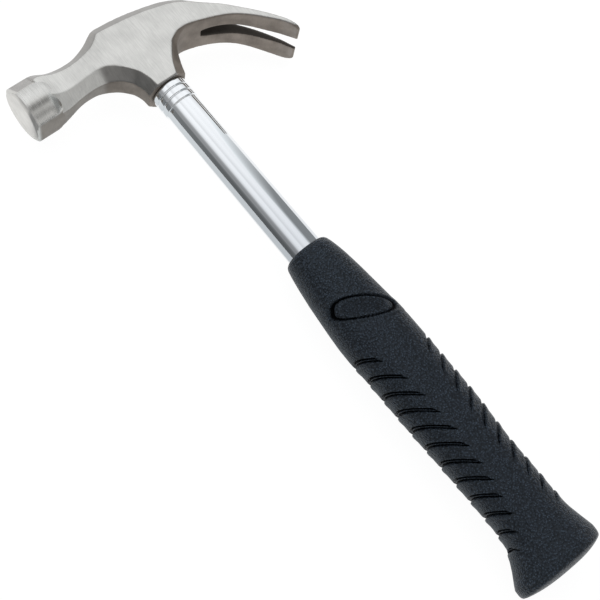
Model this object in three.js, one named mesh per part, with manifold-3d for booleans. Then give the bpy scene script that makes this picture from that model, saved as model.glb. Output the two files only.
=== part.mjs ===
// Claw hammer lying on its side: forged head, chromed tube with a rolled collar, moulded rubber grip.
// The handle axis is the line y = 0, z = 0 and +X runs along it from the butt towards the head.
// x = 0 is the lower edge of the collar. +Y points to the striking face and +Z is up.
// The last group moves the origin to the middle of the underside of the whole hammer.
// All lengths are in millimetres.
import * as THREE from 'three';
import { mergeVertices } from 'three/addons/utils/BufferGeometryUtils.js';
import Module from 'manifold-3d';

const wasm = await Module();
wasm.setup();

// ---- driving dimensions ----
const overallLength = 316;
const crownX = 52.6;
const faceY = 61.3;
const clawTipY = -64.6;
const buttX = crownX - overallLength;

const bellAxisX = 37.5;
const bellRadius = 13.5;
const faceRadius = 11.7;
const bellStartY = 46.6;
const faceChamfer = 1.4;

const bodyHalfThickness = 10.5;
const bodyChamfer = 5;
const neckHalfThickness = 9;
const neckChamfer = 4.6;
const bossX = 11.2;

const slotRootY = -30;
const slotHalfRoot = 2.7;
const slotHalfTip = 4;
const clawHalfRoot = 10.4;
const clawHalfTip = 15.6;

const eyeRadius = 7.3;
const eyeTopX = 45.6;
const eyeTubeRadius = 7;
const eyeTubeBore = 5.8;
const crownHoleRadius = 5.2;
const plugShoulderX = 44.4;
const tubeRadiusTop = 8.3;
const tubeRadiusGrip = 8.6;
const tubeWall = 1.3;
const collarRadius = 8.8;
const collarLength = 9.9;
const ringCount = 3;
const ringGroove = 0.8;
const ringGrooveDepth = 0.55;

const gripTopX = -88.3;
const gripClearance = 0.3;
const gripHalfHeight = 13.4;
const buttHalfHeight = 15.2;
const tubeEndX = -246;

const ribPitch = 9.13;
const ribFirstX = -143;
const ribCountFaceSide = 12;
const ribCountClawSide = 10;
const ribGrooveWidth = 2.4;
const ribGrooveDepth = 1.2;

const pieceGap = 0.3;

// ---- solids and meshes ----
function toSolid(geometry) {
  const bare = geometry.index ? geometry.toNonIndexed() : geometry.clone();
  bare.deleteAttribute('normal');
  bare.deleteAttribute('uv');
  const merged = mergeVertices(bare, 1e-4);
  const vertProperties = new Float32Array(merged.attributes.position.array);
  const triVerts = new Uint32Array(merged.index.array);
  const mesh = new wasm.Mesh({ numProp: 3, vertProperties, triVerts });
  return new wasm.Manifold(mesh);
}

function toGeometry(solid) {
  const mesh = solid.getMesh();
  const geometry = new THREE.BufferGeometry();
  geometry.setAttribute('position', new THREE.BufferAttribute(new Float32Array(mesh.vertProperties), 3));
  geometry.setIndex(new THREE.BufferAttribute(new Uint32Array(mesh.triVerts), 1));
  geometry.computeVertexNormals();
  return geometry;
}

// A side outline drawn in x and y, made 2 * half thick across z.
function sideSlab(shape, half, curveSegments) {
  const geometry = new THREE.ExtrudeGeometry(shape, { depth: 2 * half, bevelEnabled: false, curveSegments });
  geometry.translate(0, 0, -half);
  return toSolid(geometry);
}

// A forged bar with eight flats. Each station is [place along Y, lower x, upper x, half thickness,
// lower chamfer, upper chamfer]; the stations are joined by smooth curves.
function octagonBar(stations, rows) {
  const places = stations.map((station) => station[0]);
  const sizes = stations.flatMap((station) => station.slice(1));
  const smooth = new THREE.CubicInterpolant(places, sizes, 5);
  const [first, last] = [places[0], places[places.length - 1]];
  const geometry = new THREE.CylinderGeometry(1, 1, 1, 8, rows, false, Math.PI / 8);
  const position = geometry.attributes.position;
  for (let i = 0; i < position.count; i += 1) {
    const place = THREE.MathUtils.lerp(first, last, position.getY(i) + 0.5);
    const [low, high, half, lowCut, highCut] = smooth.evaluate(place);
    const [px, pz] = [position.getX(i), position.getZ(i)];
    if (Math.hypot(px, pz) < 0.5) {
      position.setXYZ(i, (low + high) / 2, place, 0);
      continue;
    }
    const cut = px > 0 ? highCut : lowCut;
    const onCheek = Math.abs(pz) > Math.abs(px);
    const inward = onCheek ? cut : 0;
    const x = px > 0 ? high - inward : low + inward;
    const z = Math.sign(pz) * (onCheek ? half : half - cut);
    position.setXYZ(i, x, place, z);
  }
  return geometry;
}

// A plan outline drawn in y and z, run along X from x0 to x1.
function planPrism(shape, x0, x1, curveSegments) {
  const geometry = new THREE.ExtrudeGeometry(shape, {
    depth: x1 - x0,
    bevelEnabled: false,
    curveSegments,
  });
  const yzx = new THREE.Matrix4().makeBasis(
    new THREE.Vector3(0, 1, 0),
    new THREE.Vector3(0, 0, 1),
    new THREE.Vector3(1, 0, 0),
  );
  geometry.applyMatrix4(yzx);
  geometry.translate(x0, 0, 0);
  return toSolid(geometry);
}

// A turned piece on the handle axis; profile holds [x, radius] pairs and closes on itself.
function turnedOnHandle(profile, segments) {
  const points = profile.map(([x, radius]) => new THREE.Vector2(radius, x));
  const geometry = new THREE.LatheGeometry(points, segments);
  geometry.rotateZ(-Math.PI / 2);
  return geometry;
}

function cylinderOnHandle(radius, x0, x1, segments) {
  const geometry = new THREE.CylinderGeometry(radius, radius, x1 - x0, segments);
  geometry.rotateZ(-Math.PI / 2);
  geometry.translate((x0 + x1) / 2, 0, 0);
  return geometry;
}

// ---- head ----
// Crown, cheeks and neck: from the claws' root to inside the bell.
function bodyBar() {
  const [w, c] = [bodyHalfThickness, bodyChamfer];
  const [wn, cn] = [neckHalfThickness, neckChamfer];
  return toSolid(octagonBar([
    [-29, 29, 33, w - 0.5, 1, c],
    [-22, 28.4, 41, w - 0.4, 1, c],
    [-15, 26.4, 47.9, w - 0.1, 1, c],
    [-10, 25.4, 50.1, w, 1, c],
    [-3, 25, 51.7, w, 1, c],
    [5, 25, crownX - 0.2, w, 1, c],
    [10.5, 26, crownX - 0.05, w, 2, c],
    [14, 26.6, 51.8, w, 3, c],
    [17.5, 27.2, 49.8, w - 0.2, 4, c],
    [22, 27.8, 47.4, w - 0.7, cn, cn],
    [29, 28.4, 45.7, wn, cn, cn],
    [36, 28, 45.8, wn, cn, cn],
    [43, 26.6, 47.4, wn, cn, cn],
    [50, 25.6, 49, wn, cn, cn],
  ], 36));
}

// The eye boss: from the collar up into the cheeks, spreading into the neck and the throat.
function bossBar() {
  const [w, c] = [bodyHalfThickness, bodyChamfer];
  const geometry = octagonBar([
    [bossX, -10.7, 9.8, w, c, c],
    [15, -11, 11, w, c, c],
    [19, -12.4, 12.5, w, c, c],
    [22.5, -15, 14.2, w, c, c],
    [25.3, -18.4, 16.6, w, c, c],
    [27.4, -23.2, 20.4, w - 0.3, c, c],
    [29.5, -24, 22, w - 0.8, c, c],
    [36, -20, 20, w - 0.3, c, c],
  ], 20);
  geometry.rotateZ(-Math.PI / 2);
  return toSolid(geometry);
}

// Both claws seen from the side: thick at the throat, a thin edge at the tips.
function clawShape() {
  const shape = new THREE.Shape();
  shape.moveTo(28, -17);
  shape.bezierCurveTo(27.4, -25, 25.2, -32.5, 22.3, -38);
  shape.bezierCurveTo(17.5, -47, 6.5, -56.5, -4.6, -63.3);
  shape.lineTo(-4, clawTipY);
  shape.bezierCurveTo(13, -57, 29, -42, 37, -32.3);
  shape.bezierCurveTo(41.6, -27, 46.4, -21.6, 48.7, -14.6);
  shape.lineTo(49.3, -12.4);
  shape.lineTo(40, -9.5);
  shape.lineTo(28, -12);
  shape.closePath();
  return shape;
}

// The width of the claws against y; they spread to the tips, whose outer corners are rounded.
function clawPlan() {
  const shape = new THREE.Shape();
  const cornerY = -59.5;
  const tipHalf = clawHalfTip - 4;
  shape.moveTo(-9, clawHalfRoot);
  shape.bezierCurveTo(-30, 12.2, -46, 12.2, cornerY, clawHalfTip);
  shape.bezierCurveTo(-62.5, clawHalfTip, -65.2, tipHalf + 2.4, -65.2, tipHalf);
  shape.lineTo(-65.2, -tipHalf);
  shape.bezierCurveTo(-65.2, -tipHalf - 2.4, -62.5, -clawHalfTip, cornerY, -clawHalfTip);
  shape.bezierCurveTo(-46, -12.2, -30, -12.2, -9, -clawHalfRoot);
  shape.closePath();
  return shape;
}

function slotPlan() {
  const shape = new THREE.Shape();
  shape.moveTo(slotRootY + 0.6, -slotHalfRoot + 1);
  shape.lineTo(slotRootY + 0.6, slotHalfRoot - 1);
  shape.lineTo(slotRootY, slotHalfRoot);
  shape.lineTo(-70, slotHalfTip + 0.2);
  shape.lineTo(-70, -slotHalfTip - 0.2);
  shape.lineTo(slotRootY, -slotHalfRoot);
  shape.closePath();
  return shape;
}

// A block whose lower side is the plane through three points, used to slice a corner off.
function slicingBlock(a, b, c, outward) {
  const side = 90;
  const along = new THREE.Vector3().subVectors(b, a).normalize();
  const normal = new THREE.Vector3().subVectors(c, a).cross(along).normalize();
  if (normal.dot(outward) < 0) {
    normal.negate();
  }
  const across = new THREE.Vector3().crossVectors(normal, along);
  const geometry = new THREE.BoxGeometry(side, side, side);
  geometry.translate(0, 0, side / 2);
  geometry.applyMatrix4(new THREE.Matrix4().makeBasis(along, across, normal).setPosition(a));
  return toSolid(geometry);
}

// The crown's chamfer runs out along the root of each claw.
function crownRunOut(side) {
  const onCrown = new THREE.Vector3(49.6, -14, side * 5.5);
  const onCheek = new THREE.Vector3(44.6, -14, side * 10.5);
  const runOut = new THREE.Vector3(36.4, -33.6, side * 11.7);
  return slicingBlock(onCrown, onCheek, runOut, new THREE.Vector3(1, 0, side));
}

function bell() {
  const profile = [
    [0, 39],
    [8.4, 39],
    [9.2, 42.6],
    [10.6, 45.2],
    [12.6, 46.2],
    [bellRadius, bellStartY + 0.6],
    [bellRadius, faceY - faceChamfer],
    [faceRadius, faceY],
    [0, faceY],
  ];
  const points = profile.map(([radius, y]) => new THREE.Vector2(radius, y));
  const geometry = new THREE.LatheGeometry(points, 48);
  geometry.translate(bellAxisX, 0, 0);
  return toSolid(geometry);
}

function clawPair() {
  return sideSlab(clawShape(), 20, 14)
    .intersect(planPrism(clawPlan(), -10, 60, 14))
    .subtract(planPrism(slotPlan(), -20, 60, 4))
    .subtract(crownRunOut(1))
    .subtract(crownRunOut(-1));
}

function headGeometry() {
  const eye = cylinderOnHandle(eyeRadius, bossX - 5, eyeTopX, 40);
  const crownHole = cylinderOnHandle(crownHoleRadius, eyeTopX - 1, crownX + 5, 40);
  const head = bodyBar()
    .add(bossBar())
    .add(bell())
    .add(clawPair())
    .subtract(toSolid(eye))
    .subtract(toSolid(crownHole));
  return toGeometry(head);
}

// ---- shaft, its seal and its plugs ----
// One tube: necked down inside the eye, three rolled rings at the collar, open at both ends.
function shaftGeometry() {
  const ringPitch = collarLength / ringCount;
  const outer = [[tubeEndX, tubeRadiusGrip], [gripTopX, tubeRadiusGrip], [0, tubeRadiusTop]];
  for (let i = 0; i < ringCount; i += 1) {
    const start = i * ringPitch;
    const end = start + ringPitch;
    outer.push([start + 0.01, collarRadius - ringGrooveDepth]);
    outer.push([start + ringGroove / 2, collarRadius]);
    outer.push([end - ringGroove / 2, collarRadius]);
    outer.push([end - 0.01, collarRadius - ringGrooveDepth]);
  }
  outer.push([collarLength, eyeTubeRadius]);
  outer.push([eyeTopX - pieceGap, eyeTubeRadius]);
  const inner = [
    [eyeTopX - pieceGap, eyeTubeBore],
    [collarLength - 3, eyeTubeBore],
    [-1, tubeRadiusTop - tubeWall],
    [tubeEndX, tubeRadiusGrip - tubeWall],
  ];
  const profile = [...outer, ...inner, outer[0]];
  return turnedOnHandle(profile, 48);
}

// Dark bead that seals the joint between the collar and the eye boss.
function sealGeometry() {
  const x0 = collarLength + pieceGap;
  const x1 = bossX - pieceGap;
  const innerRadius = eyeTubeRadius + pieceGap;
  const outerRadius = collarRadius + 0.1;
  return turnedOnHandle([
    [x0, innerRadius],
    [x0, outerRadius],
    [x1, outerRadius],
    [x1, innerRadius],
    [x0, innerRadius],
  ], 48);
}

// Steel plug in the tube's top end; its stem fills the hole in the crown.
function eyePlugGeometry() {
  const radius = eyeTubeBore - pieceGap;
  const stemRadius = crownHoleRadius - pieceGap;
  return turnedOnHandle([
    [crownX - 15, 0],
    [crownX - 15, radius - 1],
    [crownX - 13, radius],
    [plugShoulderX, radius],
    [plugShoulderX, stemRadius],
    [crownX - 1.4, stemRadius],
    [crownX - 0.8, stemRadius - 0.6],
    [crownX - 0.8, 0],
  ], 32);
}

// Hardwood core that stiffens the tube where it enters the head.
function coreGeometry() {
  const radius = eyeTubeBore - pieceGap;
  return turnedOnHandle([
    [-40, 0],
    [-40, radius - 0.8],
    [-39, radius],
    [crownX - 17, radius],
    [crownX - 16, radius - 0.8],
    [crownX - 16, 0],
  ], 24);
}

// Plug that closes the tube's lower end inside the grip.
function tubePlugGeometry() {
  const radius = tubeRadiusGrip - tubeWall - pieceGap;
  return turnedOnHandle([
    [tubeEndX + 0.4, 0],
    [tubeEndX + 0.4, radius],
    [tubeEndX + 12, radius],
    [tubeEndX + 13, radius - 1],
    [tubeEndX + 13, 0],
  ], 32);
}

// ---- grip ----
// Half widths of the grip at [x, towards the face, towards the claws, up and down].
const gripStations = [
  [gripTopX, 9.9, 9.9, 9.9],
  [gripTopX - 0.9, 10.8, 10.8, 10.8],
  [-92, 11.5, 11.8, 11.6],
  [-100, 12.9, 13.3, 12.4],
  [-116, 14.9, 15, gripHalfHeight],
  [-131, 16.3, 16.4, 13.6],
  [-141, 16.3, 17, 13.6],
  [-165, 15.9, 17, 13.5],
  [-190, 15.6, 16.5, gripHalfHeight],
  [-210, 15.2, 15.4, 13.2],
  [-232, 15.1, 15.3, 13.2],
  [-240, 16, 15.4, 13.4],
  [-247, 19.2, 16.3, 14],
  [-253, 23, 17.5, 14.8],
  [-257, 25.6, 18.1, buttHalfHeight],
  [-259.4, 26, 17.8, 15],
  [-261.2, 24.6, 16.2, 13.8],
];

function stationAt(x, column) {
  const last = gripStations.length - 1;
  let i = 0;
  while (i < last - 1 && x < gripStations[i + 1][0]) {
    i += 1;
  }
  const [x0, x1] = [gripStations[i][0], gripStations[i + 1][0]];
  const t = Math.min(1, Math.max(0, (x - x0) / (x1 - x0)));
  return THREE.MathUtils.lerp(gripStations[i][column], gripStations[i + 1][column], t);
}

// The grip's skin, moved in by inset; its section is a rounded, slightly squared oval.
function gripSkin(inset) {
  const around = 32;
  const profile = gripStations.map(([x]) => [x, 1]);
  profile.unshift([gripTopX, 0]);
  profile.push([buttX + 0.7, 0.72], [buttX, 0.3], [buttX, 0]);
  profile.reverse();
  const geometry = turnedOnHandle(profile, around);
  const position = geometry.attributes.position;
  for (let i = 0; i < position.count; i += 1) {
    const x = position.getX(i);
    const y = position.getY(i);
    const z = position.getZ(i);
    const towards = y > 0 ? 1 : 2;
    const halfWidth = stationAt(x, towards) - inset;
    const halfHeight = stationAt(x, 3) - inset;
    position.setXYZ(i, x, y * halfWidth, z * halfHeight);
  }
  return toSolid(geometry);
}

// One slanted bar from the edge of the spine out past the side of the grip.
function ribBar(x, sideY, sideZ) {
  const spineY = sideY * 5.2;
  const spineZ = sideZ * 14;
  const outY = sideY * 22;
  const inner = new THREE.Vector3(x - 8.5, spineY, spineZ);
  const outer = new THREE.Vector3(x + 3, outY, -sideZ * 0.4);
  const along = new THREE.Vector3().subVectors(outer, inner);
  const length = along.length();
  along.normalize();
  const depth = new THREE.Vector3(0, sideY * 0.72, sideZ * 0.69);
  const across = new THREE.Vector3().crossVectors(depth, along).normalize();
  depth.crossVectors(along, across).normalize();
  const geometry = new THREE.BoxGeometry(length, ribGrooveWidth, 22);
  geometry.applyMatrix4(new THREE.Matrix4().makeBasis(along, across, depth));
  const middle = new THREE.Vector3().addVectors(inner, outer).multiplyScalar(0.5);
  geometry.translate(middle.x, middle.y, middle.z);
  return toSolid(geometry);
}

function ribBars() {
  let bars = null;
  for (const sideZ of [1, -1]) {
    for (const sideY of [1, -1]) {
      const count = sideY > 0 ? ribCountFaceSide : ribCountClawSide;
      for (let i = 0; i < count; i += 1) {
        const x = ribFirstX - i * ribPitch - (sideY > 0 ? 0 : 6.5);
        const bar = ribBar(x, sideY, sideZ);
        bars = bars ? bars.add(bar) : bar;
      }
    }
  }
  return bars;
}

// Plain sunk oval panel across the upper side of the grip.
function panelTool() {
  const shape = new THREE.Shape();
  shape.absellipse(0, 0, 15.5, 5.4, 0, 2 * Math.PI, false, 0);
  const geometry = new THREE.ExtrudeGeometry(shape, { depth: 20, bevelEnabled: false, curveSegments: 16 });
  geometry.rotateZ(THREE.MathUtils.degToRad(49));
  geometry.translate(-125, 0.8, 0);
  return toSolid(geometry);
}

function gripGeometry() {
  const grip = gripSkin(0)
    .subtract(ribBars().subtract(gripSkin(ribGrooveDepth)))
    .subtract(panelTool().subtract(gripSkin(0.7)))
    .subtract(toSolid(cylinderOnHandle(tubeRadiusGrip + gripClearance, tubeEndX - gripClearance, 0, 48)));
  return toGeometry(grip);
}

// ---- materials ----
function forgedSteel() {
  return new THREE.MeshStandardMaterial({ color: 0xc2c2bd, roughness: 0.38, metalness: 1 });
}

function chromePlate() {
  return new THREE.MeshStandardMaterial({ color: 0xe4e7ea, roughness: 0.1, metalness: 1 });
}

function darkSealant() {
  return new THREE.MeshStandardMaterial({ color: 0x17181a, roughness: 0.6, metalness: 0 });
}

function plainSteel() {
  return new THREE.MeshStandardMaterial({ color: 0x8d8f90, roughness: 0.45, metalness: 1 });
}

function hardwood() {
  return new THREE.MeshStandardMaterial({ color: 0xc09a67, roughness: 0.7, metalness: 0 });
}

function blackRubber() {
  return new THREE.MeshStandardMaterial({ color: 0x2c3035, roughness: 0.62, metalness: 0 });
}

function greyPlastic() {
  return new THREE.MeshStandardMaterial({ color: 0x4a4c4f, roughness: 0.5, metalness: 0 });
}

// ---- scene graph ----
function piece(name, geometry, material) {
  const mesh = new THREE.Mesh(geometry, material);
  mesh.name = name;
  return mesh;
}

const hammer = new THREE.Group();
hammer.add(piece('head', headGeometry(), forgedSteel()));
hammer.add(piece('shaft_tube', shaftGeometry(), chromePlate()));
hammer.add(piece('joint_seal', sealGeometry(), darkSealant()));
hammer.add(piece('eye_plug', eyePlugGeometry(), plainSteel()));
hammer.add(piece('tube_core', coreGeometry(), hardwood()));
hammer.add(piece('grip', gripGeometry(), blackRubber()));
hammer.add(piece('tube_end_plug', tubePlugGeometry(), greyPlastic()));
hammer.position.set(-(crownX + buttX) / 2, -(faceY + clawTipY) / 2, clawHalfTip);

const stand = new THREE.Group();
stand.add(hammer);

export default stand;
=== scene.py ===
import bmesh
import bpy
from math import atan2, cos, degrees, hypot, pi, radians, sin, sqrt
from mathutils import Matrix, Vector


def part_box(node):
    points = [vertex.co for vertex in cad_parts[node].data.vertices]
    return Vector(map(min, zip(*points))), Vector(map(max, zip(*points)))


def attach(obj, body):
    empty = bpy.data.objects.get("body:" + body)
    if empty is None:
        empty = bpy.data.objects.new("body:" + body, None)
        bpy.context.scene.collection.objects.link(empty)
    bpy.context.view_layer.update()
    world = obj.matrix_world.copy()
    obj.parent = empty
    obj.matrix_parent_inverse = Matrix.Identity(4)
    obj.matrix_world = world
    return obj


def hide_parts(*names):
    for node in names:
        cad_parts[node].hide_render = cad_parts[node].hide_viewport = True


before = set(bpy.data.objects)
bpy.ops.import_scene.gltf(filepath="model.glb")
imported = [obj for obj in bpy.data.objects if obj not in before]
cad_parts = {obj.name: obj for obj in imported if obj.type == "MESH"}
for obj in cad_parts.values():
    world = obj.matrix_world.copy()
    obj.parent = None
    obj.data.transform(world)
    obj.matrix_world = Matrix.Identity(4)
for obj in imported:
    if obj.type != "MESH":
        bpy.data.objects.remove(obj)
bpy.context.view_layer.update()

scene = bpy.context.scene

# Pieces are modelled in millimetres with the handle along X, x = 0 at the collar's lower edge,
# +Y towards the striking face and +Z up; placePiece then puts them where the frame has them.
sealLow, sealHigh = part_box("joint_seal")
sealAboveCollar = 10.2      # from the collar's lower edge to the seal's, along X
handleAxis = {
    "x": sealLow[0] * 1000 - sealAboveCollar,
    "y": (sealLow[1] + sealHigh[1]) * 500,
    "z": (sealLow[2] + sealHigh[2]) * 500,
}


def hexColour(code, alpha=1.0):
    # sRGB hex to linear
    parts = [int(code[i:i + 2], 16) / 255 for i in (1, 3, 5)]
    linear = [p / 12.92 if p <= 0.04045 else ((p + 0.055) / 1.055) ** 2.4 for p in parts]
    return (*linear, alpha)


def addNode(tree, kind, settings=None, links=None):
    # settings: attribute or input name -> value; links: input name -> (node, output name)
    node = tree.nodes.new(kind)
    for key, value in (settings or {}).items():
        if isinstance(key, str) and hasattr(node, key):
            setattr(node, key, value)
        else:
            node.inputs[key].default_value = value
    for key, (source, output) in (links or {}).items():
        tree.links.new(source.outputs[output], node.inputs[key])
    return node


def setStops(ramp, stops):
    # stops: [(place, colour)], replacing the ramp's own two
    elements = ramp.color_ramp.elements
    elements[0].position, elements[0].color = stops[0]
    elements[1].position, elements[1].color = stops[-1]
    for place, colour in stops[1:-1]:
        elements.new(place).color = colour


def grey(value):
    return (value, value, value, 1)


def newMaterial(name):
    material = bpy.data.materials.new(name)
    material.use_nodes = True
    tree = material.node_tree
    tree.nodes.clear()
    return material, tree, addNode(tree, "ShaderNodeOutputMaterial")


seamMm = 0.0005     # points closer than this are one


def startFresh():
    # an operator acts on all that is selected, so nothing may be left over
    if bpy.context.object and bpy.context.object.mode != "OBJECT":
        bpy.ops.object.mode_set(mode="OBJECT")
    bpy.ops.object.select_all(action="DESELECT")


def makeActive(piece):
    startFresh()
    bpy.context.view_layer.objects.active = piece
    piece.select_set(True)


def extrudeRings(name, rings):
    # a filled outline is pulled out section by section; each ring lists its points in mm
    startFresh()
    bpy.ops.mesh.primitive_circle_add(vertices=len(rings[0]), radius=1, fill_type="NGON")
    piece = bpy.context.object
    piece.name = piece.data.name = name
    bpy.ops.object.mode_set(mode="EDIT")
    mesh = bmesh.from_edit_mesh(piece.data)
    order = mesh.verts.layers.int.new("order")
    for index, vert in enumerate(mesh.verts):
        vert[order] = index
        vert.co = rings[0][index]
    bmesh.update_edit_mesh(piece.data)
    for ring in rings[1:]:
        bpy.ops.mesh.extrude_region_move()
        mesh = bmesh.from_edit_mesh(piece.data)
        order = mesh.verts.layers.int["order"]
        for vert in mesh.verts:
            if vert.select:
                vert.co = ring[vert[order]]
        bmesh.update_edit_mesh(piece.data)
    bpy.ops.mesh.select_all(action="SELECT")
    bpy.ops.mesh.normals_make_consistent(inside=False)
    bpy.ops.object.mode_set(mode="OBJECT")
    return piece


def spinProfile(name, profile, segments, closed=False, centre=(0, 0, 0), axis=(1, 0, 0)):
    # profile: [(along, radius)] in mm; it closes on itself or starts and ends on the axis
    startFresh()
    bpy.ops.mesh.primitive_circle_add(vertices=len(profile), radius=1, fill_type="NOTHING")
    piece = bpy.context.object
    piece.name = piece.data.name = name
    bpy.ops.object.mode_set(mode="EDIT")
    mesh = bmesh.from_edit_mesh(piece.data)
    along = Vector(axis)
    for vert, (place, radius) in zip(mesh.verts, profile):
        vert.co = Vector(centre) + along * place + Vector((0, 0, radius))
    mesh.verts.ensure_lookup_table()
    for edge in mesh.edges:
        edge.select = False
    if not closed:
        ends = {mesh.verts[0], mesh.verts[len(profile) - 1]}
        for edge in mesh.edges:
            if set(edge.verts) == ends:
                edge.select = True
    mesh.select_flush_mode()
    bmesh.update_edit_mesh(piece.data)
    if not closed:
        bpy.ops.mesh.select_mode(type="EDGE")
        bpy.ops.mesh.delete(type="EDGE_FACE")
        bpy.ops.mesh.select_mode(type="VERT")
    bpy.ops.mesh.select_all(action="SELECT")
    bpy.ops.mesh.spin(steps=segments, angle=2 * pi, center=centre, axis=axis)
    bpy.ops.mesh.select_all(action="SELECT")
    bpy.ops.mesh.remove_doubles(threshold=seamMm)
    bpy.ops.mesh.normals_make_consistent(inside=False)
    bpy.ops.object.mode_set(mode="OBJECT")
    return piece


def applyModifier(piece, kind, **settings):
    makeActive(piece)
    modifier = piece.modifiers.new(kind.title(), kind)
    for key, value in settings.items():
        setattr(modifier, key, value)
    bpy.ops.object.modifier_apply(modifier=modifier.name)


def joinPieces(pieces):
    startFresh()
    for piece in pieces:
        piece.select_set(True)
    bpy.context.view_layer.objects.active = pieces[0]
    bpy.ops.object.join()
    return pieces[0]


def shadeByAngle(piece, angle):
    makeActive(piece)
    bpy.ops.object.shade_smooth_by_angle(angle=radians(angle))


def placePiece(piece, material, nodes):
    # millimetres on the handle axis to metres in the frame, with the place left in the mesh
    makeActive(piece)
    piece.scale = (0.001, 0.001, 0.001)
    piece.location = [handleAxis[k] / 1000 for k in "xyz"]
    bpy.ops.object.transform_apply(location=True, rotation=True, scale=True)
    piece.data.materials.clear()
    piece.data.materials.append(material)
    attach(piece, "root")
    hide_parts(*nodes)


def smoothRows(rows, steps):
    # Catmull-Rom through the rows; a repeated row is a corner
    runs, run = [], [rows[0]]
    for row in rows[1:]:
        if row == run[-1]:
            runs.append(run)
            run = [row]
        else:
            run.append(row)
    runs.append(run)
    result = []
    for run in runs:
        last = len(run) - 1
        for i in range(last):
            before, here = run[max(i - 1, 0)], run[i]
            there, after = run[i + 1], run[min(i + 2, last)]
            for k in range(steps):
                t = k / steps
                result.append([
                    0.5 * (2 * b + (c - a) * t + (2 * a - 5 * b + 4 * c - d) * t * t
                           + (3 * b - a - 3 * c + d) * t ** 3)
                    for a, b, c, d in zip(before, here, there, after)])
    result.append(list(rows[-1]))
    return result


def readTable(table, place, column):
    # straight-line reading of a table whose first column falls or rises steadily
    rising = table[-1][0] > table[0][0]
    for low, high in zip(table, table[1:]):
        inside = low[0] <= place <= high[0] if rising else high[0] <= place <= low[0]
        if inside:
            t = (place - low[0]) / (high[0] - low[0])
            return low[column] + (high[column] - low[column]) * t
    first = (place < table[0][0]) == rising
    return table[0][column] if first else table[-1][column]


def smoothStep(low, high, value):
    t = min(1, max(0, (value - low) / (high - low)))
    return t * t * (3 - 2 * t)


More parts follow.
